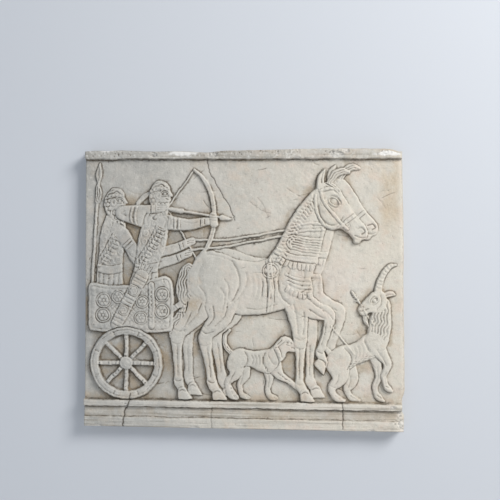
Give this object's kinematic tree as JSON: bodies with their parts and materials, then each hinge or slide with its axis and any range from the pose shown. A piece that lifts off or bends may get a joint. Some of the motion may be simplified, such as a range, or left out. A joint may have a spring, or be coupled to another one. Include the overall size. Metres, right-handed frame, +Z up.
{
  "type": "plaster wall relief",
  "caption": "Rectangular plaster slab carved in low relief with a chariot hunt between plain mouldings, fixed flat against a wall.",
  "frame": {"origin": "centre of the flat back face, on the wall", "axes": "+Y into the wall, out of the back face; +X to the right as seen from the front; +Z up; the carving faces -Y"},
  "size_m": [1.066, 0.061, 0.93],
  "materials": {
    "plaster": "matt"
  },
  "bodies": {
    "root": {"relief_panel": "plaster"}
  },
  "joints": []
}
